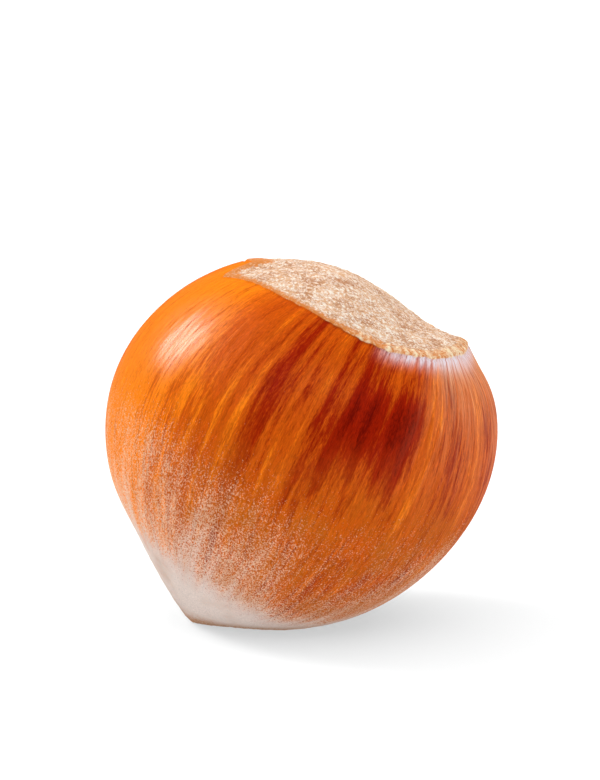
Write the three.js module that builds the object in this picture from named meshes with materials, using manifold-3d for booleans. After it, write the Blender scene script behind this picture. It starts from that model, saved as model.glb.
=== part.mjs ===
// A hazelnut in its shell, lying on its side, in millimetres with +Z up.
// The nut is one closed solid: a blunt tip, a round belly and a domed scar, where it sat in its husk.
// It is shaped in the nut's own frame, +Z from the tip to the scar, then leaned over and set on a foot.

import * as THREE from 'three';
import { mergeVertices } from 'three/addons/utils/BufferGeometryUtils.js';
import Module from 'manifold-3d';

const DEG = Math.PI / 180;

// How the nut lies.
const LEAN = 30.6 * DEG;              // from upright, towards +X
const FOOT_LEVEL = 0.05;              // height of the flat resting spot, measured from the tip

// The shell, as a radius about the nut's middle that changes from tip to scar.
const MIDDLE_HEIGHT = 10.92;          // middle of the nut above its tip
const BELLY_RADIUS = 9.19;            // radius near the tip end
const SHOULDER_GROWTH = 2.24;         // what the radius gains towards the scar end
const GROWTH_POWER = 0.91;            // how late that gain comes
const TIP_LENGTH = 2.19;              // how far the point stands beyond the round belly
const TIP_SPREAD = 13.1 * DEG;        // how wide the point spreads into the belly
const TIP_ROUNDING = 2.6 * DEG;       // how blunt the point is
const DEPTH_RATIO = 0.95;             // the shell is a little flatter front to back
const AXIS_OFFSET = -0.17;            // the nut's core line at mid height
const AXIS_BOW = 0.65;                // how far that line bows towards +X, one BOW_REACH from mid height
const BOW_REACH = 10;
const AXIS_MID_HEIGHT = 8;

// The edge of the scar, as a polar angle from the tip that changes around the nut.
const EDGE_ANGLE = 139 * DEG;
const EDGE_TILT = 3.5 * DEG;
const EDGE_RISE = 13.45 * DEG;        // the edge climbs on the +X side and drops on the -X side
const EDGE_TURN = -16 * DEG;          // direction of that climb
const EDGE_WAVE = 0.63 * DEG;
const EDGE_WAVE_TURN = -4.5 * DEG;
const NOTCH = 10 * DEG;               // the edge cuts in behind its pointed -X end
const NOTCH_START = [-14, -4];        // degrees back from -X, where the cut begins and is full
const NOTCH_END = [20, 75];           // and where it starts to fade and is gone
const NECK_DEPTH = 0.46;              // the shell tucks in under the raised side of the edge
const NECK_WIDTH = 13 * DEG;

// The scar: a low dome with a shallow dip near its raised side.
const DOME_HEIGHT = 1.61;
const DIP_DEPTH = 1.3;
const DIP_PLACE = 0.52;               // from the middle of the scar to its edge, as a share
const DIP_WIDTH = 0.56;

const SHELL_COLOUR = 0xc4560f;

// Facets.
const SIDES = 64;
const SHELL_ROWS = 30;
const SCAR_ROWS = 8;

// 1 where the edge is cut in and 0 elsewhere, by the angle back from -X.
function notchShare(turn) {
  const back = (THREE.MathUtils.euclideanModulo(2 * Math.PI - turn, 2 * Math.PI) - Math.PI) / DEG;
  const start = THREE.MathUtils.smoothstep(back, ...NOTCH_START);
  return start * (1 - THREE.MathUtils.smoothstep(back, ...NOTCH_END));
}

function edgeAngle(turn) {
  const side = Math.cos(turn - EDGE_TURN);
  const wave = EDGE_WAVE * Math.cos(2 * (turn - EDGE_WAVE_TURN));
  return EDGE_ANGLE + EDGE_TILT * side + EDGE_RISE * side ** 3 + wave + NOTCH * notchShare(turn);
}

// A point of the shell at a polar angle from the tip and a turn about the nut's axis.
function shellPoint(polar, turn) {
  const growth = SHOULDER_GROWTH * ((1 - Math.cos(polar)) / 2) ** GROWTH_POWER;
  const point = TIP_LENGTH * Math.exp(-Math.hypot(polar, TIP_ROUNDING) / TIP_SPREAD);
  const raisedSide = (0.5 + 0.5 * Math.cos(turn - EDGE_TURN)) ** 4;
  const neck = NECK_DEPTH * raisedSide * Math.exp(-(((edgeAngle(turn) - polar) / NECK_WIDTH) ** 2));
  const radius = BELLY_RADIUS + growth + point - neck;
  const height = MIDDLE_HEIGHT - radius * Math.cos(polar);
  const across = radius * Math.sin(polar);
  const bow = AXIS_OFFSET + AXIS_BOW * ((height - AXIS_MID_HEIGHT) / BOW_REACH) ** 2;
  return new THREE.Vector3(bow + across * Math.cos(turn), DEPTH_RATIO * across * Math.sin(turn), height);
}

const edgeHigh = shellPoint(edgeAngle(0), 0);
const edgeLow = shellPoint(edgeAngle(Math.PI), Math.PI);
const scarMiddle = edgeHigh.clone().add(edgeLow).multiplyScalar(0.5);
const scarClimb = (edgeHigh.z - edgeLow.z) / 2;

// A point of the scar, share 1 at its edge and 0 at its middle.
function scarPoint(share, turn) {
  const side = Math.cos(turn - EDGE_TURN);
  const place = share * side;
  const dip = DIP_DEPTH * Math.exp(-(((place - DIP_PLACE) / DIP_WIDTH) ** 2));
  const dome = (1 - share ** 2) * (DOME_HEIGHT - dip);
  const edge = shellPoint(edgeAngle(turn), turn);
  const unevenEdge = edge.z - scarMiddle.z - scarClimb * side;
  const point = scarMiddle.clone().lerp(edge, share);
  point.z = scarMiddle.z + scarClimb * place + unevenEdge * share ** 2 + dome;
  return point;
}

// A lathed ball gives the facets: its lower rows become the shell and its upper rows the scar.
function shapedBall() {
  const rows = SHELL_ROWS + SCAR_ROWS;
  const profile = [];
  for (let row = 0; row <= rows; row += 1) {
    const angle = (Math.PI * row) / rows;
    profile.push(new THREE.Vector2(row % rows === 0 ? 0 : Math.sin(angle), -Math.cos(angle)));
  }
  const ball = new THREE.LatheGeometry(profile, SIDES);
  ball.rotateX(Math.PI / 2);
  ball.deleteAttribute('normal');
  ball.deleteAttribute('uv');
  const solid = mergeVertices(ball);
  const places = solid.getAttribute('position');
  const place = new THREE.Vector3();
  for (let index = 0; index < places.count; index += 1) {
    place.fromBufferAttribute(places, index);
    const turn = Math.atan2(place.y, place.x);
    const row = (Math.acos(THREE.MathUtils.clamp(-place.z, -1, 1)) / Math.PI) * rows;
    const onShell = row <= SHELL_ROWS;
    const point = onShell
      ? shellPoint((edgeAngle(turn) * row) / SHELL_ROWS, turn)
      : scarPoint((rows - row) / SCAR_ROWS, turn);
    places.setXYZ(index, point.x, point.y, point.z);
  }
  return solid;
}

const wasm = await Module();
wasm.setup();

function toSolid(geometry) {
  const vertProperties = new Float32Array(geometry.getAttribute('position').array);
  const triVerts = new Uint32Array(geometry.getIndex().array);
  return new wasm.Manifold(new wasm.Mesh({ numProp: 3, vertProperties, triVerts }));
}

function toGeometry(solid) {
  const mesh = solid.getMesh();
  const geometry = new THREE.BufferGeometry();
  geometry.setAttribute('position', new THREE.BufferAttribute(mesh.vertProperties, 3));
  geometry.setIndex(new THREE.BufferAttribute(mesh.triVerts, 1));
  return geometry;
}

// A slab whose top is the level of the resting spot.
function groundSlab() {
  const thickness = BELLY_RADIUS / 2;
  const width = 6 * BELLY_RADIUS;
  const slab = new THREE.BoxGeometry(width, width, thickness);
  slab.translate(0, 0, FOOT_LEVEL - thickness / 2);
  slab.deleteAttribute('normal');
  slab.deleteAttribute('uv');
  return mergeVertices(slab);
}

function hazelnut() {
  const nut = shapedBall();
  nut.rotateY(LEAN);
  const geometry = toGeometry(toSolid(nut).subtract(toSolid(groundSlab())));
  geometry.computeBoundingBox();
  const { min, max } = geometry.boundingBox;
  geometry.translate(-(min.x + max.x) / 2, -(min.y + max.y) / 2, -min.z);
  geometry.computeVertexNormals();
  const shell = new THREE.MeshStandardMaterial({ color: SHELL_COLOUR, roughness: 0.35, metalness: 0 });
  const mesh = new THREE.Mesh(geometry, shell);
  mesh.name = 'hazelnut';
  return mesh;
}

const group = new THREE.Group();
group.add(hazelnut());

export default group;
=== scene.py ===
import math

import bpy
import numpy as np
from bpy.props import FloatProperty, FloatVectorProperty, IntProperty, PointerProperty
from mathutils import Color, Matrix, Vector, noise


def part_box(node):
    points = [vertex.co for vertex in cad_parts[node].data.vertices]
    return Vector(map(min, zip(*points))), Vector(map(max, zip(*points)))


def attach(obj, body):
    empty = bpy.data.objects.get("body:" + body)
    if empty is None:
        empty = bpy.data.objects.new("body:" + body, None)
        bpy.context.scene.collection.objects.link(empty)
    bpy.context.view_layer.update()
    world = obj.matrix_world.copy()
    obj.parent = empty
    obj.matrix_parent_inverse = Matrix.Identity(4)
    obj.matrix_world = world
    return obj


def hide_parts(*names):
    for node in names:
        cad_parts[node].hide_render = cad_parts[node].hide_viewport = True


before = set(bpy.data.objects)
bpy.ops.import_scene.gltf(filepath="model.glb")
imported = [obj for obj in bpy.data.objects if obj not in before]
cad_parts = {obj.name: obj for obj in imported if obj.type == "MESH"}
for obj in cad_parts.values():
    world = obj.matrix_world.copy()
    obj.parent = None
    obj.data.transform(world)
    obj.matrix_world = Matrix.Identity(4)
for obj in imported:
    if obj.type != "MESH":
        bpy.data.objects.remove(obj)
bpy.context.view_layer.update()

bl_info = {
    "name": "Hazelnut",
    "version": (1, 0, 0),
    "blender": (4, 5, 0),
    "location": "View3D > Sidebar > Hazelnut",
    "description": "A hazelnut in its shell, with fibres, felt and scar, on a pale studio floor",
    "category": "Add Mesh",
}

NODE = "hazelnut"
BODY = "root"
CAD_LOW, CAD_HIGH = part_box(NODE)

MM = 0.001
BOW_REACH = 10 * MM                 # how far from mid height the bow of the core line is measured
NOTCH_START = (-10, 0)              # degrees back from -X, where the notch begins and is full
NOTCH_END = (20, 75)                # and where it starts to fade and is gone
FIBRE_TWIST = math.radians(24.0)    # how far the fibres turn about the axis, from tip to scar
FIBRE_STRAIGHT = 0.8                # share of the way to the scar where they haven't turned
FIBRE_RADIUS = 10.0                 # millimetres, of the roll that carries the fibres' noise

# Rows of facets, which lie closer on both sides of the rim.
END_SHARE = 0.004                   # from each end of the nut to its nearest row
SHELL_RIM_SHARE = 0.90
SCAR_RIM_SHARE = 0.88
SHELL_ROWS, SHELL_RIM_ROWS = 92, 24
SCAR_RIM_ROWS, SCAR_ROWS = 14, 61

FLOOR_GAP = 0.01 * MM               # keeps the floor clear of the resting spot


# ---------------------------------------------------------------- sizes and colours


class HazelnutShape(bpy.types.PropertyGroup):
    """The nut's sizes, in its own frame: upright, with its tip at the bottom and scar on top."""

    lean: FloatProperty(
        name="Lean", description="Angle of the nut's axis from upright, towards +X",
        default=math.radians(30.6), subtype="ANGLE")
    foot_level: FloatProperty(
        name="Foot Level", description="Height of the flat resting spot, measured from the tip",
        default=0.05 * MM, unit="LENGTH", precision=5)
    middle_height: FloatProperty(
        name="Middle Height", description="Height of the nut's middle above its tip",
        default=10.92 * MM, unit="LENGTH", precision=5)
    belly_radius: FloatProperty(
        name="Belly Radius", description="Radius of the round belly near the tip end",
        default=9.19 * MM, unit="LENGTH", precision=5)
    shoulder_growth: FloatProperty(
        name="Shoulder Growth", description="What the radius gains towards the scar end",
        default=2.24 * MM, unit="LENGTH", precision=5)
    growth_power: FloatProperty(
        name="Growth Power", description="How late that gain comes", default=0.91)
    tip_length: FloatProperty(
        name="Tip Length", description="How far the point stands beyond the belly's round",
        default=2.19 * MM, unit="LENGTH", precision=5)
    tip_spread: FloatProperty(
        name="Tip Spread", description="How wide the point spreads into the belly",
        default=math.radians(13.1), subtype="ANGLE")
    tip_rounding: FloatProperty(
        name="Tip Rounding", description="How blunt the point is",
        default=math.radians(4.5), subtype="ANGLE")
    depth_ratio: FloatProperty(
        name="Depth Ratio", description="Depth of the nut over its width", default=0.95)
    axis_offset: FloatProperty(
        name="Axis Offset", description="Offset of the core line at mid height",
        default=-0.17 * MM, unit="LENGTH", precision=5)
    axis_bow: FloatProperty(
        name="Axis Bow", description="Bow of the core line towards +X, 10 mm from mid height",
        default=0.65 * MM, unit="LENGTH", precision=5)
    axis_mid_height: FloatProperty(
        name="Axis Mid Height", description="Height where the core line is straightest",
        default=8.0 * MM, unit="LENGTH", precision=5)
    tip_bend: FloatProperty(
        name="Tip Bend", description="How far the tip end bends to the front",
        default=0.8 * MM, unit="LENGTH", precision=5)
    tip_hollow: FloatProperty(
        name="Tip Hollow", description="How far the -X flank is drawn in above the tip",
        default=0.32 * MM, unit="LENGTH", precision=5)
    flank_swell: FloatProperty(
        name="Flank Swell", description="How far the +X flank swells below the scar",
        default=0.12 * MM, unit="LENGTH", precision=5)

    edge_angle: FloatProperty(
        name="Edge Angle", description="Polar angle of the scar's edge from the tip",
        default=math.radians(139.0), subtype="ANGLE")
    edge_tilt: FloatProperty(
        name="Edge Tilt", description="Tilt of the edge towards +X",
        default=math.radians(3.5), subtype="ANGLE")
    edge_rise: FloatProperty(
        name="Edge Rise", description="Climb of the edge at its +X side and drop at its -X side",
        default=math.radians(13.45), subtype="ANGLE")
    edge_turn: FloatProperty(
        name="Edge Turn", description="Direction of that climb",
        default=math.radians(-16.0), subtype="ANGLE")
    edge_wave: FloatProperty(
        name="Edge Wave", description="Oval wave of the edge",
        default=math.radians(0.63), subtype="ANGLE")
    edge_wave_turn: FloatProperty(
        name="Edge Wave Turn", description="Direction of that wave",
        default=math.radians(-4.5), subtype="ANGLE")
    notch: FloatProperty(
        name="Notch", description="How far the edge cuts in behind its pointed -X end",
        default=math.radians(10.0), subtype="ANGLE")
    neck_depth: FloatProperty(
        name="Neck Depth", description="How far the shell tucks in under the edge's raised side",
        default=0.46 * MM, unit="LENGTH", precision=5)
    neck_width: FloatProperty(
        name="Neck Width", description="Reach of that tuck below the edge",
        default=math.radians(13.0), subtype="ANGLE")

    dome_height: FloatProperty(
        name="Dome Height", description="Height of the scar's dome over its edge",
        default=1.82 * MM, unit="LENGTH", precision=5)
    dip_depth: FloatProperty(
        name="Dip Depth", description="Depth of the shallow dip near the raised side of the scar",
        default=1.3 * MM, unit="LENGTH", precision=5)
    dip_place: FloatProperty(
        name="Dip Place", description="Place of that dip, from the middle (0) to the edge (1)",
        default=0.52)
    dip_width: FloatProperty(
        name="Dip Width", description="Width of that dip over the scar's radius", default=0.56)


class HazelnutRelief(bpy.types.PropertyGroup):
    """Depths of what the shell, the rim and the scar carry on their surfaces."""

    flute_depth: FloatProperty(
        name="Flute Depth", description="Depth of the broad, soft flutes along the shell",
        default=0.05 * MM, unit="LENGTH", precision=6)
    rib_depth: FloatProperty(
        name="Rib Depth", description="Depth of the fine ribs along the shell",
        default=0.010 * MM, unit="LENGTH", precision=6)
    felt_depth: FloatProperty(
        name="Felt Depth", description="Unevenness of the felt over the tip",
        default=0.03 * MM, unit="LENGTH", precision=6)
    rim_height: FloatProperty(
        name="Rim Height", description="Height of the corky rim over the shell",
        default=0.07 * MM, unit="LENGTH", precision=6)
    tooth_height: FloatProperty(
        name="Tooth Height", description="Height of the teeth along the raised side of the rim",
        default=0.12 * MM, unit="LENGTH", precision=6)
    tooth_pitch: FloatProperty(
        name="Tooth Pitch", description="Angle from one tooth to the next",
        default=math.radians(5.0), subtype="ANGLE")
    groove_depth: FloatProperty(
        name="Groove Depth", description="Depth of the fine groove under the rim",
        default=0.05 * MM, unit="LENGTH", precision=6)
    grain_depth: FloatProperty(
        name="Grain Depth", description="Depth of the scar's coarse grain",
        default=0.04 * MM, unit="LENGTH", precision=6)
    columns: IntProperty(
        name="Columns", description="Facets around the nut", default=512, min=16)


class HazelnutColours(bpy.types.PropertyGroup):
    """The nut's colours."""

    amber: FloatVectorProperty(
        name="Amber", description="Yellow-orange shell, on its lightest side",
        default=(0.92, 0.215, 0.006), subtype="COLOR", min=0, max=1)
    orange: FloatVectorProperty(
        name="Orange", description="Main colour of the shell",
        default=(0.62, 0.090, 0.003), subtype="COLOR", min=0, max=1)
    russet: FloatVectorProperty(
        name="Russet", description="Reddish fibres",
        default=(0.33, 0.011, 0.0006), subtype="COLOR", min=0, max=1)
    mahogany: FloatVectorProperty(
        name="Mahogany", description="Dark stripes",
        default=(0.14, 0.0022, 0.0003), subtype="COLOR", min=0, max=1)
    ochre: FloatVectorProperty(
        name="Ochre", description="Yellow-brown fibres of the lower shell",
        default=(0.54, 0.115, 0.006), subtype="COLOR", min=0, max=1)
    fleck: FloatVectorProperty(
        name="Fleck", description="Single hairs above the felt",
        default=(0.90, 0.62, 0.38), subtype="COLOR", min=0, max=1)
    felt: FloatVectorProperty(
        name="Felt", description="Short pale hairs over the tip",
        default=(0.83, 0.69, 0.62), subtype="COLOR", min=0, max=1)
    # Worn felt spots, and also the colour of the painted contact shade at the resting spot.
    felt_brown_and_shade: FloatVectorProperty(
        name="Felt Brown", description="Worn, brownish spots of the felt",
        default=(0.52, 0.25, 0.12), subtype="COLOR", min=0, max=1)
    # Colour of the painted shade in the groove under the rim.
    groove_shade: FloatVectorProperty(
        name="Bark", description="Brown line under the rim",
        default=(0.16, 0.03, 0.01), subtype="COLOR", min=0, max=1)
    # Colour of the painted sheen on the ribs just below the raised side of the rim.
    pale: FloatVectorProperty(
        name="Pale", description="Whitish fibres right below the rim",
        default=(0.82, 0.72, 0.78), subtype="COLOR", min=0, max=1)
    # Colour of the painted pale sheen farther below the raised side of the rim.
    sheen_wash: FloatVectorProperty(
        name="Dry", description="Bleached shell farther below the rim",
        default=(0.84, 0.44, 0.22), subtype="COLOR", min=0, max=1)
    rim: FloatVectorProperty(
        name="Rim", description="Corky rim of the scar",
        default=(0.72, 0.25, 0.065), subtype="COLOR", min=0, max=1)
    # Pale grain of the rim, and the painted highlight on the tops of its teeth.
    rim_pale_and_highlight: FloatVectorProperty(
        name="Rim Pale", description="Worn tops of the rim",
        default=(0.97, 0.80, 0.55), subtype="COLOR", min=0, max=1)
    scar_pale: FloatVectorProperty(
        name="Scar Pale", description="Whitish grain of the scar",
        default=(0.98, 0.90, 0.80), subtype="COLOR", min=0, max=1)
    scar_tan: FloatVectorProperty(
        name="Scar Tan", description="Main colour of the scar",
        default=(0.76, 0.45, 0.26), subtype="COLOR", min=0, max=1)
    scar_brown: FloatVectorProperty(
        name="Scar Brown", description="Brown pits of the scar",
        default=(0.48, 0.19, 0.08), subtype="COLOR", min=0, max=1)


class HazelnutStage(bpy.types.PropertyGroup):
    """The studio: floor, lights and camera."""

    elevation: FloatProperty(
        name="Elevation", description="The camera's height above level",
        default=math.radians(12.0), subtype="ANGLE")
    camera_distance: FloatProperty(
        name="Camera Distance", description="From the camera to the nut",
        default=0.3, unit="LENGTH")
    view_width: FloatProperty(
        name="View Width", description="Width that the picture shows at the nut",
        default=32.7 * MM, unit="LENGTH", precision=5)
    aim_height: FloatProperty(
        name="Aim Height", description="Height of the point in the picture's middle",
        default=12.78 * MM, unit="LENGTH", precision=5)
    aim_side: FloatProperty(
        name="Aim Side", description="Place of that point along X",
        default=-0.08 * MM, unit="LENGTH", precision=5)
    floor_reach: FloatProperty(
        name="Floor Reach", description="Half the floor's width", default=0.42, unit="LENGTH")
    key_power: FloatProperty(
        name="Key Power", description="Power of the light at the left",
        default=0.62, unit="POWER")
    fill_power: FloatProperty(
        name="Fill Power", description="Power of the light at the right",
        default=0.30, unit="POWER")
    top_power: FloatProperty(
        name="Top Power", description="Power of the light above",
        default=6.8, unit="POWER")
    front_power: FloatProperty(
        name="Front Power", description="Power of the light above the camera",
        default=0.50, unit="POWER")
    surround: FloatProperty(
        name="Surround", description="Strength of the light from the white room around the nut",
        default=0.05)
    floor_glow: FloatProperty(
        name="Floor Glow", description="Light that comes up through the white floor",
        default=0.10)


# ---------------------------------------------------------------- shape


class NutForm:
    """The smooth nut as formulas on arrays: polar angle from the tip, and turn about the axis."""

    def __init__(self, shape):
        self.s = shape
        high = self.shell(self.edge(np.array([0.0])), np.array([0.0]))[0]
        low = self.shell(self.edge(np.array([math.pi])), np.array([math.pi]))[0]
        self.scar_middle = (high + low) / 2
        self.scar_climb = (high[2] - low[2]) / 2

    def side(self, turn):
        """1 at the raised side of the scar's edge, -1 at its low side."""
        return np.cos(turn - self.s.edge_turn)

    def edge(self, turn):
        """Polar angle of the scar's edge."""
        s = self.s
        side = self.side(turn)
        wave = s.edge_wave * np.cos(2 * (turn - s.edge_wave_turn))
        back = np.degrees(np.mod(2 * math.pi - turn, 2 * math.pi)) - 180
        notch = s.notch * smooth(*NOTCH_START, back) * (1 - smooth(*NOTCH_END, back))
        return s.edge_angle + s.edge_tilt * side + s.edge_rise * side ** 3 + wave + notch

    def shell(self, polar, turn):
        """Points of the shell."""
        s = self.s
        growth = s.shoulder_growth * ((1 - np.cos(polar)) / 2) ** s.growth_power
        point = s.tip_length * np.exp(-np.hypot(polar, s.tip_rounding) / s.tip_spread)
        raised = (0.5 + 0.5 * self.side(turn)) ** 4
        neck = s.neck_depth * raised * np.exp(-(((self.edge(turn) - polar) / s.neck_width) ** 2))
        radius = s.belly_radius + growth + point - neck
        height = s.middle_height - radius * np.cos(polar)
        across = radius * np.sin(polar)
        bow = s.axis_offset + s.axis_bow * ((height - s.axis_mid_height) / BOW_REACH) ** 2
        return np.stack(
            [bow + across * np.cos(turn), s.depth_ratio * across * np.sin(turn), height], -1)

    def scar(self, share, turn, edge_polar):
        """Points of the scar, share 1 at its edge and 0 at its middle."""
        s = self.s
        side = self.side(turn)
        place = share * side
        dip = s.dip_depth * np.exp(-(((place - s.dip_place) / s.dip_width) ** 2))
        dome = (1 - share ** 2) * (s.dome_height - dip)
        edge = self.shell(edge_polar, turn)
        middle = self.scar_middle
        uneven = edge[..., 2] - middle[2] - self.scar_climb * side
        points = middle + share[..., None] * (edge - middle)
        points[..., 2] = middle[2] + self.scar_climb * place + uneven * share ** 2 + dome
        return points


def lean_over(points, angle):
    """Turns points of the nut's own frame about Y, so that its axis leans towards +X."""
    cos, sin = math.cos(angle), math.sin(angle)
    x, y, z = points[..., 0], points[..., 1], points[..., 2]
    return np.stack([x * cos + z * sin, y, z * cos - x * sin], -1)


def smooth(low, high, value):
    """0 below low, 1 above high, and an even rise between."""
    t = np.clip((value - low) / (high - low), 0, 1)
    return t * t * (3 - 2 * t)


def soft_noise(points):
    """Even noise from -1 to 1 at each point."""
    flat = points.reshape(-1, 3)
    values = np.array([noise.noise(p) for p in flat.tolist()])
    return values.reshape(points.shape[:-1])


def ring_noise(turn, along, density, stretch, seed):
    """Noise that closes on itself around the nut, with density cells to a radian of turn."""
    ones = np.ones(np.broadcast(turn, along).shape)
    x, y = np.cos(turn) * density * ones + seed, np.sin(turn) * density * ones
    return soft_noise(np.stack([x, y, along * stretch * ones], -1))


def grid_normals(points):
    """Outward unit normals of a grid that closes on itself from column to column."""
    around = np.roll(points, -1, 1) - np.roll(points, 1, 1)
    upward = np.gradient(points, axis=0)
    normals = np.cross(around, upward)
    length = np.linalg.norm(normals, axis=-1, keepdims=True)
    return normals / np.maximum(length, 1e-12)


def bell(middle, width, degrees):
    """1 at an angle around the nut, and less away from it."""
    away = (degrees - middle + 180) % 360 - 180
    return np.exp(-((away / width) ** 2))


def edge_lift(turn):
    """How far the scar's edge climbs above its even line, in degrees."""
    degrees = np.degrees(turn)
    front = smooth(-172, -160, degrees) * smooth(-30, -50, degrees)
    back = smooth(-8, 22, degrees) * smooth(105, 75, degrees)
    waves = (1.4 * bell(-155, 13, degrees) + 1.6 * bell(-72, 15, degrees)
             - 1.6 * bell(-22, 12, degrees) + 2.0 * bell(178, 16, degrees))
    return front + 4.4 * back + waves


def rim_teeth(form, relief, turn):
    """Where the rim has teeth, from 0 to 1, and how far they stand out around the nut."""
    level = np.zeros((1, 1))
    teeth_side = smooth(-0.25, 0.35, form.side(turn))
    tooth_turn = turn + 0.10 * ring_noise(turn, level, 9.0, 1.0, 3.0)
    tooth = np.abs(np.sin(math.pi * tooth_turn / relief.tooth_pitch))
    return teeth_side, tooth * (0.75 + 0.9 * ring_noise(turn, level, 9.0, 1.0, 13.0))


def uneven_edge(form, turn, scallops):
    """The scar's edge, which wanders a little and is scalloped where the rim has teeth."""
    level = np.zeros((1, 1))
    wander = 0.30 * ring_noise(turn, level, 6.0, 1.0, 11.0)
    wander += 0.40 * ring_noise(turn, level, 19.0, 1.0, 17.0)
    return form.edge(turn) + np.radians(wander + edge_lift(turn) - 0.4 * scallops)


def nut_grid(form, relief):
    """The fine nut as rows of points from tip to scar, with the marks that its looks need."""
    turn = np.linspace(-math.pi, math.pi, relief.columns, endpoint=False)[None, :]
    shell_share = np.concatenate([
        np.linspace(END_SHARE, SHELL_RIM_SHARE, SHELL_ROWS),
        np.linspace(SHELL_RIM_SHARE, 1.0, SHELL_RIM_ROWS + 1)[1:]])
    scar_share = np.concatenate([
        np.linspace(1.0, SCAR_RIM_SHARE, SCAR_RIM_ROWS + 1)[1:],
        np.linspace(SCAR_RIM_SHARE, END_SHARE, SCAR_ROWS + 1)[1:]])
    teeth_side, tooth = rim_teeth(form, relief, turn)
    edge = uneven_edge(form, turn, teeth_side * tooth)

    shell = form.shell(shell_share[:, None] * edge, turn)
    scar = form.scar(scar_share[:, None], turn, edge)
    points = np.concatenate([shell, scar])
    steps = np.linalg.norm(np.diff(points, axis=0), axis=-1)
    along = np.concatenate([np.zeros((1, relief.columns)), np.cumsum(steps, axis=0)])
    rim = (along - along[len(shell_share) - 1]) / MM
    share = np.concatenate([shell_share, 2 - scar_share])[:, None].repeat(relief.columns, 1)
    normals = grid_normals(points)
    points[..., 1] -= form.s.tip_bend * smooth(0.55, 0.12, share)

    on_shell = smooth(0.15, -0.15, rim)
    on_scar = smooth(0.25, 0.55, rim)
    tip_end = smooth(0.02, 0.12, share)
    flutes = ring_noise(turn, share, 5.0, 1.2, 0.0) + 0.5 * ring_noise(turn, share, 11.0, 1.6, 5.0)
    ribs = ring_noise(turn, share, 30.0, 2.2, 9.0)
    near_rim = smooth(-2.5, -0.3, rim) * on_shell
    felted = smooth(0.34, 0.24, share)
    millimetres = points / MM
    felt_bumps = soft_noise(millimetres * 2.6) + 0.6 * soft_noise(millimetres * 5.2 + 7.0)
    grain = (soft_noise(millimetres * 1.3) + 0.8 * soft_noise(millimetres * 2.7 + 3.0)
             + 0.45 * soft_noise(millimetres * 5.5 + 5.0))

    height = relief.flute_depth * flutes * tip_end * smooth(0.0, -1.5, rim)
    height += relief.rib_depth * ribs * tip_end * on_shell * (1 + 1.2 * near_rim)
    height += relief.felt_depth * felt_bumps * felted
    height += relief.grain_depth * grain * on_scar

    # The shell is a little hollow above the tip on one flank, and a little fuller on the other.
    degrees = np.degrees(turn)
    above_tip = np.exp(-(((share - 0.25) / 0.12) ** 2))
    below_scar = np.exp(-(((share - 0.72) / 0.16) ** 2))
    height -= form.s.tip_hollow * bell(180, 42, degrees) * above_tip
    height += form.s.flank_swell * bell(0, 40, degrees) * below_scar

    # The rim stands over the shell, with a fine groove under it and teeth on its raised side.
    ledge = smooth(-0.04, 0.10, rim) * smooth(1.3, 0.35, rim)
    groove = np.exp(-(((rim + 0.10) / 0.07) ** 2))
    height += relief.rim_height * ledge - relief.groove_depth * groove
    tooth_reach = smooth(-0.02, 0.18, rim) * smooth(1.05, 0.45, rim)
    height += relief.tooth_height * teeth_side * (tooth - 0.35) * tooth_reach
    points = points + normals * height[..., None]

    pointed_end = smooth(-0.80, -0.99, form.side(turn))
    marks = {
        "turn": np.broadcast_to(turn, share.shape),
        "spun": turn + FIBRE_TWIST * (np.minimum(share, 1) - FIBRE_STRAIGHT),
        "share": share,
        "along": along / MM,
        "rim": rim,
        "rim_width": np.broadcast_to(0.34 + 0.42 * teeth_side + pointed_end, share.shape),
        "rim_lump": np.broadcast_to(teeth_side * tooth, share.shape),
        "ribs": ribs,
    }
    return points, marks


def nut_faces(rows, columns):
    """Quads between the rows, and a fan of triangles at each end."""
    row, column = np.meshgrid(np.arange(rows - 1), np.arange(columns), indexing="ij")
    beside = (column + 1) % columns
    quads = np.stack([
        row * columns + column, row * columns + beside,
        (row + 1) * columns + beside, (row + 1) * columns + column], -1).reshape(-1, 4)
    first, last = rows * columns, rows * columns + 1
    start = np.arange(columns)
    end = (start + 1) % columns
    top = (rows - 1) * columns
    low_fan = [(first, int(b), int(a)) for a, b in zip(start, end)]
    high_fan = [(last, top + int(a), top + int(b)) for a, b in zip(start, end)]
    return [tuple(q) for q in quads.tolist()] + low_fan + high_fan


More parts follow.
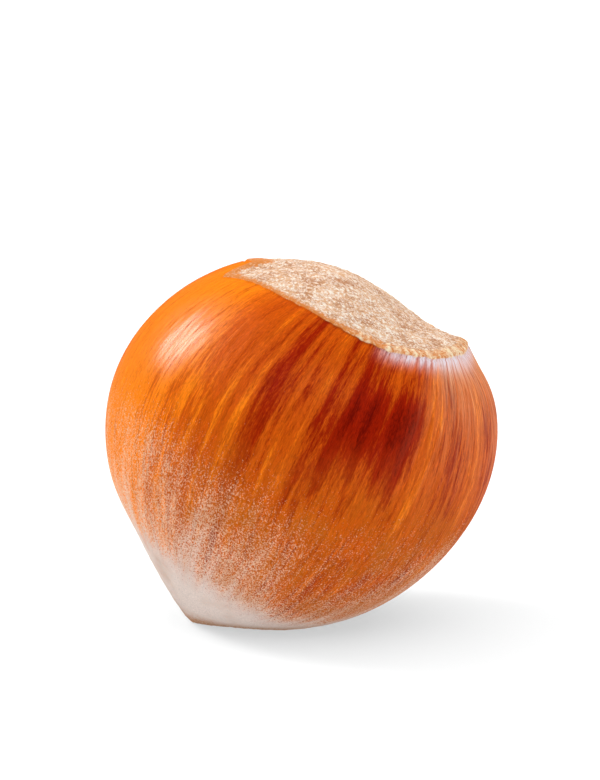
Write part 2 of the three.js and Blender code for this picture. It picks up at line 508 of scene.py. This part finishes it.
def stripes(turn, share):
    """How dark the shell is stained, from 0 to 1: stripes from the scar towards the tip."""
    # turn and width in degrees, where it starts and ends from tip (0) to scar (1), and strength
    bands = (
        (-140, 2, 0.30, 0.75, 0.40), (-132, 15, 0.86, 1.10, 0.42), (-131, 2.5, 0.50, 1.00, 0.25),
        (-125, 1.4, 0.66, 1.10, 0.35), (-124, 2, 0.30, 0.66, 0.50), (-119, 1.6, 0.62, 1.10, 0.45),
        (-114, 1.2, 0.70, 1.10, 0.40), (-110.5, 2.6, 0.40, 1.10, 0.80),
        (-106, 1.4, 0.74, 1.10, 0.45), (-102, 1.8, 0.45, 1.10, 0.40), (-99, 2, 0.28, 0.55, 0.50),
        (-95, 2, 0.60, 1.10, 0.50), (-87, 3, 0.66, 1.10, 0.60), (-86, 2, 0.25, 0.56, 0.45),
        (-80, 7, 0.73, 0.90, 0.62), (-74, 17, 0.68, 0.97, 0.34), (-70, 2, 0.28, 0.60, 0.40),
        (-66, 7, 0.74, 0.89, 0.66), (-56, 2.5, 0.25, 0.54, 0.40), (-46, 2.5, 0.40, 0.96, 0.40),
        (-38, 2.0, 0.35, 0.90, 0.25), (-22, 3, 0.45, 0.95, 0.25), (-4, 3, 0.35, 0.90, 0.30),
        (17, 4, 0.50, 1.10, 0.45), (34, 7, 0.50, 1.10, 0.90), (55, 5, 0.30, 1.10, 0.70),
        (76, 6, 0.62, 1.10, 1.00), (97, 5, 0.45, 1.10, 0.60), (118, 7, 0.70, 1.10, 0.80),
        (140, 5, 0.55, 1.10, 0.50),
    )
    drift = 2.5 * ring_noise(turn, share, 4.0, 2.5, 21.0)
    return np.clip(banded(np.degrees(turn) + drift, share, bands), 0, 1.3)


def banded(degrees, share, bands):
    """The sum of bands that run along the nut."""
    total = np.zeros(share.shape)
    for middle, width, start, stop, strength in bands:
        fade = smooth(start - 0.13, start + 0.10, share) * smooth(stop + 0.04, stop - 0.04, share)
        total += strength * bell(middle, width, degrees) * fade
    return total


def light_streaks(turn, share):
    """How amber the shell is, from 0 to 1: one broad light side, and narrow streaks."""
    # the same five numbers as in stripes
    bands = (
        (-160, 38, 0.10, 1.10, 1.00), (-122, 1.6, 0.60, 1.05, 0.25),
        (-116.5, 1.3, 0.60, 1.05, 0.30), (-101, 2.5, 0.40, 0.80, 0.35),
        (-98, 1.2, 0.60, 1.05, 0.25), (-57, 3.0, 0.58, 0.97, 0.68), (-31, 3.0, 0.40, 0.90, 0.35),
        (8, 4.0, 0.40, 1.00, 0.45), (45, 5.0, 0.30, 0.95, 0.50), (66, 3.0, 0.40, 1.00, 0.35),
        (88, 4.0, 0.30, 0.90, 0.45), (108, 5.0, 0.40, 1.00, 0.45),
    )
    return np.clip(banded(np.degrees(turn), share, bands), 0, 1)


def painted_rib_sheen(turn, rim, ribs):
    """Painted sheen: whitish streaks along the ribs below the raised side of the rim, from 0 to 1.
    """
    degrees = np.degrees(turn)
    across = smooth(-95, -80, degrees) * smooth(28, 0, degrees)
    reach = 0.70 + 0.45 * bell(-38, 22, degrees)
    fade = np.exp(-((np.minimum(rim, 0) / (0.75 * reach)) ** 2))
    return (rim < 0.05) * np.clip(across * fade * (0.95 + 1.2 * ribs), 0, 1)


def painted_flank_sheen(turn, rim, ribs):
    """Painted pale sheen on the shell farther below the raised side of the rim, from 0 to 1."""
    degrees = np.degrees(turn)
    across = smooth(-72, -48, degrees) * smooth(40, 5, degrees)
    fade = np.exp(np.minimum(rim, 0) / 2.8)
    return (rim < 0.05) * np.clip(across * fade * (0.82 + ribs), 0, 1)


def rim_shadow(turn, rim):
    """Painted shade in the fine groove under the rim, strongest across the front, from 0 to 1."""
    degrees = np.degrees(turn)
    across = smooth(-122, -114, degrees) * smooth(-86, -94, degrees)
    return (0.25 + 0.75 * across) * np.exp(-(((rim + 0.03) / 0.045) ** 2))


def felt_cover(turn, share):
    """How much of the shell the felt covers, from 0 to 1."""
    degrees = np.degrees(turn)
    spread = 0.90 - 0.78 * share + 0.42 * smooth(0.37, 0.16, share)
    spread += 0.14 * bell(5, 28, degrees) - 0.10 * bell(-62, 24, degrees)
    spread += 0.07 * bell(-155, 32, degrees) * smooth(0.50, 0.36, share)
    uneven = 0.06 * ring_noise(turn, share, 2.0, 3.0, 31.0)
    uneven += 0.10 * ring_noise(turn, share, 8.0, 4.0, 41.0)
    uneven += 0.10 * ring_noise(turn, share, 20.0, 7.0, 51.0)
    cover = np.clip(spread + uneven * smooth(0.08, 0.30, share), 0, 1.1)
    return cover * smooth(0.80, 0.56, share)


def polish(turn, share):
    """How glossy the shell is, from 0 to 1: worn smooth on two flanks."""
    degrees = np.degrees(turn)
    flanks = bell(-150, 16, degrees) + 0.6 * bell(50, 40, degrees)
    return (0.08 + 0.66 * flanks) * smooth(0.55, 0.74, share) * smooth(0.97, 0.84, share)


def add_nut(context):
    """Makes the nut's mesh, in metres, where the frame has it."""
    form = NutForm(context.scene.hazelnut_shape)
    relief = context.scene.hazelnut_relief
    points, marks = nut_grid(form, relief)
    rows, columns = points.shape[:2]
    ends = np.stack([points[0].mean(0), points[-1].mean(0)])
    upright = np.concatenate([points.reshape(-1, 3), ends])
    placed = lean_over(upright, form.s.lean)

    # The frame says where the nut's middle and its resting level are.
    low, high = placed.min(0), placed.max(0)
    placed += np.array([
        (CAD_LOW.x + CAD_HIGH.x - low[0] - high[0]) / 2,
        (CAD_LOW.y + CAD_HIGH.y - low[1] - high[1]) / 2,
        CAD_LOW.z - form.s.foot_level])
    placed[:, 2] = np.maximum(placed[:, 2], CAD_LOW.z)

    mesh = bpy.data.meshes.new("hazelnut_shell")
    mesh.from_pydata(placed.tolist(), [], nut_faces(rows, columns))
    mesh.shade_smooth()
    nut = bpy.data.objects.new("hazelnut_shell", mesh)
    context.scene.collection.objects.link(nut)

    def with_ends(values):
        return np.concatenate([values.ravel(), [values[0].mean(), values[-1].mean()]])

    turn, spun, share, rim = marks["turn"], marks["spun"], marks["share"], marks["rim"]
    roll = (FIBRE_RADIUS * np.cos(spun), FIBRE_RADIUS * np.sin(spun), marks["along"])
    store_vector(mesh, "fibre", np.stack([with_ends(values) for values in roll], -1))
    store_vector(mesh, "own_place", upright / MM)
    for name in ("rim", "rim_width", "rim_lump"):
        store(mesh, name, with_ends(marks[name]))
    store(mesh, "painted_rib_sheen", with_ends(painted_rib_sheen(turn, rim, marks["ribs"])))
    store(mesh, "painted_flank_sheen", with_ends(painted_flank_sheen(turn, rim, marks["ribs"])))
    store(mesh, "rim_shadow", with_ends(rim_shadow(turn, rim)))
    store(mesh, "stain", with_ends(stripes(spun, share)))
    store(mesh, "amber", with_ends(light_streaks(spun, share)))
    store(mesh, "ochre", with_ends(smooth(0.82, 0.55, share) * smooth(-0.9, -0.2, np.cos(turn))))
    store(mesh, "felt_cover", with_ends(felt_cover(turn, share)))
    store(mesh, "tip_end", with_ends(smooth(0.10, 0.03, share)))
    store(mesh, "polish", with_ends(polish(turn, share)))
    # Painted contact shade: how near each point is to the floor, for darkening the felt where the
    # nut rests.
    store(mesh, "resting", smooth(0.75 * MM, 0.05 * MM, placed[:, 2] - CAD_LOW.z))
    return nut


def store(mesh, name, values):
    """Keeps one number a point on the mesh, for its material."""
    layer = mesh.attributes.new(name, "FLOAT", "POINT")
    layer.data.foreach_set("value", np.asarray(values, np.float32))


def store_vector(mesh, name, values):
    """Keeps one vector a point on the mesh, for its material."""
    layer = mesh.attributes.new(name, "FLOAT_VECTOR", "POINT")
    layer.data.foreach_set("vector", np.asarray(values, np.float32).ravel())


# ---------------------------------------------------------------- materials


class Number:
    """A number in a material, so that its maths reads as Python."""

    def __init__(self, sheet, socket):
        self.sheet = sheet
        self.socket = socket

    def maths(self, operation, *values):
        """What a Math node makes of some numbers."""
        inputs = dict(enumerate(values))
        node = self.sheet.node("ShaderNodeMath", {"operation": operation}, inputs)
        return Number(self.sheet, node.outputs[0])

    def __add__(self, other):
        return self.maths("ADD", self, other)

    __radd__ = __add__

    def __sub__(self, other):
        return self.maths("SUBTRACT", self, other)

    def __rsub__(self, other):
        return self.maths("SUBTRACT", other, self)

    def __mul__(self, other):
        return self.maths("MULTIPLY", self, other)

    __rmul__ = __mul__

    def clamped(self):
        """The number kept between 0 and 1."""
        node = self.sheet.node("ShaderNodeClamp", {}, {"Value": self, "Min": 0.0, "Max": 1.0})
        return Number(self.sheet, node.outputs[0])

    def ramp(self, low, high):
        """0 below low, 1 above high, and an even rise between, as smooth has it."""
        inputs = {"Value": self, "From Min": low, "From Max": high}
        node = self.sheet.node("ShaderNodeMapRange", {"interpolation_type": "SMOOTHSTEP"}, inputs)
        return Number(self.sheet, node.outputs[0])


class Sheet:
    """A node sheet, emptied before it is filled."""

    def __init__(self, tree):
        self.tree = tree
        self.tree.nodes.clear()
        self.marks = {}

    def node(self, kind, settings, inputs):
        """Any node: its type, its settings, and the values or links of its sockets."""
        node = self.tree.nodes.new(kind)
        for name, value in settings.items():
            setattr(node, name, value)
        for name, value in inputs.items():
            socket = node.inputs[name]
            if isinstance(value, Number):
                self.tree.links.new(value.socket, socket)
            elif isinstance(value, bpy.types.NodeSocket):
                self.tree.links.new(value, socket)
            elif isinstance(value, Color):
                socket.default_value = (*value, 1.0)
            else:
                socket.default_value = value
        return node

    def mark(self, name):
        """A number that the mesh carries."""
        if name not in self.marks:
            node = self.node("ShaderNodeAttribute", {"attribute_name": name}, {})
            self.marks[name] = Number(self, node.outputs["Fac"])
        return self.marks[name]

    def place(self, name):
        """A vector that the mesh carries."""
        return self.node("ShaderNodeAttribute", {"attribute_name": name}, {}).outputs["Vector"]

    def scaled(self, vector, scale):
        """A vector times another."""
        settings = {"operation": "MULTIPLY"}
        return self.node("ShaderNodeVectorMath", settings, {0: vector, 1: scale}).outputs[0]

    def noise(self, vector, scale, detail, roughness, twist=0.0):
        """Noise about 0, mostly from -1 to 1."""
        inputs = {"Vector": vector, "Scale": scale, "Detail": detail, "Roughness": roughness,
                  "Distortion": twist}
        node = self.node("ShaderNodeTexNoise", {"noise_dimensions": "3D"}, inputs)
        return (Number(self, node.outputs[0]) - 0.5) * 5.0

    def streaks(self, fibre, stretch, scale, detail, roughness, twist=0.0):
        """Noise that is drawn out along the nut."""
        along = self.scaled(fibre, (1.0, 1.0, stretch))
        return self.noise(along, scale, detail, roughness, twist)

    def cell_edges(self, vector, scale):
        """Distance to the borders of irregular cells."""
        settings = {"feature": "DISTANCE_TO_EDGE"}
        node = self.node("ShaderNodeTexVoronoi", settings, {"Vector": vector, "Scale": scale})
        return Number(self, node.outputs["Distance"])

    def bent(self, vector, scale, reach):
        """A vector pushed about by noise."""
        push = self.node("ShaderNodeTexNoise", {}, {"Vector": vector, "Scale": scale})
        inputs = {0: vector, 1: self.scaled(push.outputs["Color"], (reach, reach, reach))}
        return self.node("ShaderNodeVectorMath", {"operation": "ADD"}, inputs).outputs[0]

    def mix(self, factor, first, second):
        """One colour mixed with another."""
        inputs = {0: factor, 6: first, 7: second}
        return self.node("ShaderNodeMix", {"data_type": "RGBA"}, inputs).outputs[2]

    def shaded(self, colour, factor):
        """A colour made lighter or darker."""
        inputs = {0: colour, "Scale": factor}
        return self.node("ShaderNodeVectorMath", {"operation": "SCALE"}, inputs).outputs[0]

    def surface(self, inputs):
        """The material's surface."""
        surface = self.node("ShaderNodeBsdfPrincipled", {}, inputs)
        self.node("ShaderNodeOutputMaterial", {}, {"Surface": surface.outputs[0]})


def new_material(name):
    """A material and its empty sheet."""
    material = bpy.data.materials.new(name)
    material.use_nodes = True
    return material, Sheet(material.node_tree)


class Grain:
    """The noises that the nut's finishes share: drawn out along its fibres, or even all over."""

    def __init__(self, sheet):
        fibre, place = sheet.place("fibre"), sheet.place("own_place")
        self.place = place
        self.broad = sheet.streaks(fibre, 0.10, 0.9, 3.0, 0.6)
        self.streak = sheet.streaks(fibre, 0.11, 2.4, 3.0, 0.6, 0.3)
        self.thread = sheet.streaks(fibre, 0.08, 6.5, 3.0, 0.65, 0.4)
        self.hair = sheet.streaks(fibre, 0.22, 15.0, 2.0, 0.7, 0.4)
        self.fleck = sheet.streaks(fibre, 0.7, 13.0, 2.0, 0.7, 0.8)
        self.blotch = sheet.noise(place, 0.45, 3.0, 0.6)
        self.patch = sheet.noise(place, 0.8, 2.0, 0.6)
        self.flake = sheet.noise(place, 3.4, 3.0, 0.65, 0.4)
        self.crumb = sheet.noise(place, 7.0, 3.0, 0.7, 0.4)
        self.speck = sheet.noise(place, 11.0, 2.0, 0.7)


def shell_colour(sheet, grain, colours):
    """The bare shell: fibres from mahogany to amber and ochre low down, with painted shade in the
    groove under the rim and painted sheen below its raised side.
    """
    streak, thread, hair = grain.streak, grain.thread, grain.hair
    amber = sheet.mark("amber")
    stained = sheet.mark("stain") * (0.80 + 0.30 * streak + 0.30 * thread)
    fibres = 0.10 * grain.broad + 0.23 * streak + 0.15 * thread + 0.07 * hair
    tone = 0.60 + 0.42 * amber - 0.54 * stained + fibres * (1.0 - 0.45 * amber)
    colour = sheet.mix(tone.ramp(0.02, 0.30), colours.mahogany, colours.russet)
    colour = sheet.mix(tone.ramp(0.28, 0.62), colour, colours.orange)
    colour = sheet.mix(tone.ramp(0.66, 1.0), colour, colours.amber)
    ochre = (sheet.mark("ochre") * (0.55 + 0.35 * grain.blotch + 0.2 * streak)).clamped()
    colour = sheet.mix(ochre, colour, colours.ochre)
    colour = sheet.shaded(colour, 0.98 + 0.12 * thread + 0.16 * hair)
    # Painted shade: a brown line in the groove under the rim.
    colour = sheet.mix(sheet.mark("rim_shadow") * 0.85, colour, colours.groove_shade)
    # Painted pale sheen farther below the raised side of the rim, streaked along the threads.
    sheen_wash = (sheet.mark("painted_flank_sheen") * (0.80 + 0.5 * thread)).clamped()
    colour = sheet.mix(sheen_wash, colour, colours.sheen_wash)
    # Painted sheen: whitish streaks along the ribs just below the rim.
    sheen_on_ribs = (sheet.mark("painted_rib_sheen") * (0.85 + 0.60 * thread + 0.3 * hair)).clamped()
    return sheet.mix(sheen_on_ribs, colour, colours.pale)


def felt_density(sheet, grain):
    """Where felt hides the shell: closed over the tip, then flecks that thin out upwards."""
    cover = sheet.mark("felt_cover")
    threshold = 1.45 - 2.6 * cover
    flecks = ((grain.fleck * 0.8 + grain.speck * 0.5 - threshold) * 1.5 + 0.3).clamped()
    return flecks * (0.46 + cover * 0.50).clamped()


def felt_colour(sheet, grain, colours):
    """The felt: paler where it is closed, with brownish, worn spots."""
    speck = grain.speck
    colour = sheet.mix(sheet.mark("felt_cover").ramp(0.42, 0.92), colours.fleck, colours.felt)
    tip = sheet.mark("tip_end") * (0.8 + 0.6 * speck)
    worn = (grain.blotch * 0.4 + speck * 0.25 + tip - 0.05).clamped() * 0.8
    colour = sheet.mix(worn, colour, colours.felt_brown_and_shade)
    return sheet.shaded(colour, 0.96 + 0.14 * speck)


def scar_colour(sheet, grain, colours):
    """The scar: whitish flakes, brown grains and cracks over tan, inside a corky rim."""
    crumb, flake, patch = grain.crumb, grain.flake, grain.patch
    pale = (0.30 + 1.25 * crumb + 0.80 * flake).clamped()
    colour = sheet.mix(pale, colours.scar_tan, colours.scar_pale)
    brown = (0.9 * patch - 1.3 * crumb - 0.15).clamped()
    colour = sheet.mix(brown * 0.9, colour, colours.scar_brown)
    colour = sheet.mix((0.25 + 0.45 * patch).clamped() * 0.4, colour, colours.scar_tan)
    cells = sheet.cell_edges(sheet.bent(grain.place, 3.0, 0.35), 2.6)
    crack = (0.9 - cells * 8.0).clamped() * (0.6 + 0.6 * patch + 0.3 * crumb).clamped()
    colour = sheet.mix(crack * 0.9, colour, colours.scar_brown)

    # The pale tops of the rim's teeth are a painted highlight; crumb and flake add pale grain.
    worn = (0.95 * sheet.mark("rim_lump") + 0.55 * crumb + 0.3 * flake - 0.12).clamped()
    rim_colour = sheet.mix(worn, colours.rim, colours.rim_pale_and_highlight)
    pits = (0.5 * flake - 0.5 * crumb - 0.5).clamped()
    rim_colour = sheet.mix(pits, rim_colour, colours.scar_brown)
    band = sheet.mark("rim_width") * (1.0 + 0.5 * flake) - sheet.mark("rim")
    return sheet.mix((band * 5.0).clamped(), colour, rim_colour)


def nut_material(colours):
    """Woody shell, felted tip and corky scar, told apart by the marks on the mesh."""
    material, sheet = new_material("hazelnut_shell")
    grain = Grain(sheet)
    thread, speck = grain.thread, grain.speck
    felt = felt_density(sheet, grain)
    on_scar = sheet.mark("rim").ramp(-0.03, 0.03)
    colour = shell_colour(sheet, grain, colours)
    colour = sheet.mix(felt, colour, felt_colour(sheet, grain, colours))
    # Painted contact shade: the felt turns brown and darker near the resting spot.
    painted_contact_shade = (sheet.mark("resting") * (0.80 + 0.5 * speck)).clamped()
    colour = sheet.mix(painted_contact_shade, colour, colours.felt_brown_and_shade)
    colour = sheet.mix(on_scar, colour, scar_colour(sheet, grain, colours))

    dull = (sheet.mark("felt_cover") * 1.8 + sheet.mark("stain") * 0.6 + on_scar).clamped()
    gloss = (1.0 - dull) * sheet.mark("polish") * (0.80 + 0.5 * thread + 0.25 * grain.streak)
    relief = (thread * 0.008 + grain.hair * 0.004) * (1.0 - on_scar)
    relief = relief + speck * felt * 0.012 + grain.crumb * on_scar * 0.03
    bump = sheet.node("ShaderNodeBump", {}, {"Strength": 0.8, "Distance": MM, "Height": relief})
    sheet.surface({
        "Base Color": colour,
        "Roughness": 0.5 + dull * 0.4,
        "Specular IOR Level": 0.0,
        "Normal": bump.outputs[0],
        "Coat Weight": gloss.clamped(),
        "Coat Roughness": 0.26,
        "Coat IOR": 1.6,
        "Sheen Weight": 0.04,
        "Sheen Roughness": 0.45,
    })
    return material


def floor_material(glow):
    """White, dull acrylic with a little light from below."""
    material, sheet = new_material("floor")
    white = (0.92, 0.92, 0.92, 1.0)
    sheet.surface({
        "Base Color": white, "Roughness": 1.0, "Specular IOR Level": 0.0,
        "Emission Color": white, "Emission Strength": glow})
    return material


# ---------------------------------------------------------------- operators


class HAZELNUT_OT_nut(bpy.types.Operator):
    """Makes the whole nut, and sets it on the frame's only body"""

    bl_idname = "hazelnut.nut"
    bl_label = "Nut"

    def execute(self, context):
        nut = add_nut(context)
        nut.visible_diffuse = False    # the floor doesn't pick up the nut's orange
        nut.data.materials.append(nut_material(context.scene.hazelnut_colours))
        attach(nut, BODY)
        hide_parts(NODE)
        return {"FINISHED"}


def softbox(context, name, place, size, power):
    """A flat light that faces the nut."""
    light = bpy.data.lights.new(name, "AREA")
    light.shape = "RECTANGLE"
    light.size, light.size_y = size
    light.energy = power
    lamp = bpy.data.objects.new(name, light)
    lamp.location = place
    nut_middle = Vector((0.0, 0.0, (CAD_LOW.z + CAD_HIGH.z) / 2))
    lamp.rotation_euler = (nut_middle - lamp.location).to_track_quat("-Z", "Y").to_euler()
    context.scene.collection.objects.link(lamp)


class HAZELNUT_OT_stage(bpy.types.Operator):
    """Makes the floor, the lights and the camera"""

    bl_idname = "hazelnut.stage"
    bl_label = "Stage"

    def execute(self, context):
        stage = context.scene.hazelnut_stage
        self.add_floor(context, stage)
        self.add_lights(context, stage)
        self.add_camera(context, stage)
        context.scene.view_settings.view_transform = "Standard"
        return {"FINISHED"}

    def add_floor(self, context, stage):
        reach = stage.floor_reach
        corners = [(-reach, -reach), (reach, -reach), (reach, reach), (-reach, reach)]
        level = CAD_LOW.z - FLOOR_GAP
        mesh = bpy.data.meshes.new("floor")
        mesh.from_pydata([(x, y, level) for x, y in corners], [], [(0, 1, 2, 3)])
        mesh.materials.append(floor_material(stage.floor_glow))
        floor = bpy.data.objects.new("floor", mesh)
        context.scene.collection.objects.link(floor)

    def add_lights(self, context, stage):
        lights = (
            # name, place and size in metres, and power
            ("key_left", (-0.265, 0.120, 0.236), (0.14, 0.14), stage.key_power),
            ("fill_right", (0.30, 0.11, 0.10), (0.08, 0.30), stage.fill_power),
            ("front", (0.10, -0.44, 0.34), (0.60, 0.40), stage.front_power),
            ("top", (0.0, 0.0, 0.50), (1.30, 1.30), stage.top_power),
        )
        for name, place, size, power in lights:
            softbox(context, name, place, size, power)
        self.add_room(context, stage)

    def add_room(self, context, stage):
        """A room that looks white, but lights the nut only as much as the surround says."""
        world = bpy.data.worlds.new("studio")
        world.use_nodes = True
        sheet = Sheet(world.node_tree)
        seen = Number(sheet, sheet.node("ShaderNodeLightPath", {}, {}).outputs["Is Camera Ray"])
        strength = seen * (1.0 - stage.surround) + stage.surround
        inputs = {"Color": (1.0, 1.0, 1.0, 1.0), "Strength": strength}
        room = sheet.node("ShaderNodeBackground", {}, inputs)
        sheet.node("ShaderNodeOutputWorld", {}, {"Surface": room.outputs[0]})
        context.scene.world = world

    def add_camera(self, context, stage):
        camera = bpy.data.cameras.new("camera")
        camera.sensor_fit = "HORIZONTAL"
        camera.lens = camera.sensor_width * stage.camera_distance / stage.view_width
        camera.clip_start = 0.01
        eye = bpy.data.objects.new("camera", camera)
        aim = Vector((stage.aim_side, 0.0, stage.aim_height))
        back = Vector((0.0, -math.cos(stage.elevation), math.sin(stage.elevation)))
        eye.location = aim + back * stage.camera_distance
        eye.rotation_euler = (-back).to_track_quat("-Z", "Y").to_euler()
        context.scene.collection.objects.link(eye)
        context.scene.camera = eye


class HAZELNUT_PT_panel(bpy.types.Panel):
    """The nut's operators and settings"""

    bl_idname = "HAZELNUT_PT_panel"
    bl_label = "Hazelnut"
    bl_space_type = "VIEW_3D"
    bl_region_type = "UI"
    bl_category = "Hazelnut"

    def draw(self, context):
        layout = self.layout
        layout.operator(HAZELNUT_OT_nut.bl_idname)
        layout.operator(HAZELNUT_OT_stage.bl_idname)
        for group in GROUPS:
            box = layout.box()
            settings = getattr(context.scene, group)
            for name in settings.__annotations__:
                box.prop(settings, name)


GROUPS = {
    "hazelnut_shape": HazelnutShape,
    "hazelnut_relief": HazelnutRelief,
    "hazelnut_colours": HazelnutColours,
    "hazelnut_stage": HazelnutStage,
}
CLASSES = (*GROUPS.values(), HAZELNUT_OT_nut, HAZELNUT_OT_stage, HAZELNUT_PT_panel)


def register():
    """Registers the classes, and gives the scene its settings."""
    for cls in CLASSES:
        bpy.utils.register_class(cls)
    for name, group in GROUPS.items():
        setattr(bpy.types.Scene, name, PointerProperty(type=group))


def unregister():
    """Takes all that away again."""
    for name in GROUPS:
        delattr(bpy.types.Scene, name)
    for cls in reversed(CLASSES):
        bpy.utils.unregister_class(cls)


def main():
    """Makes the stage and the nut."""
    register()
    bpy.ops.hazelnut.stage()
    bpy.ops.hazelnut.nut()


if __name__ == "__main__":
    main()
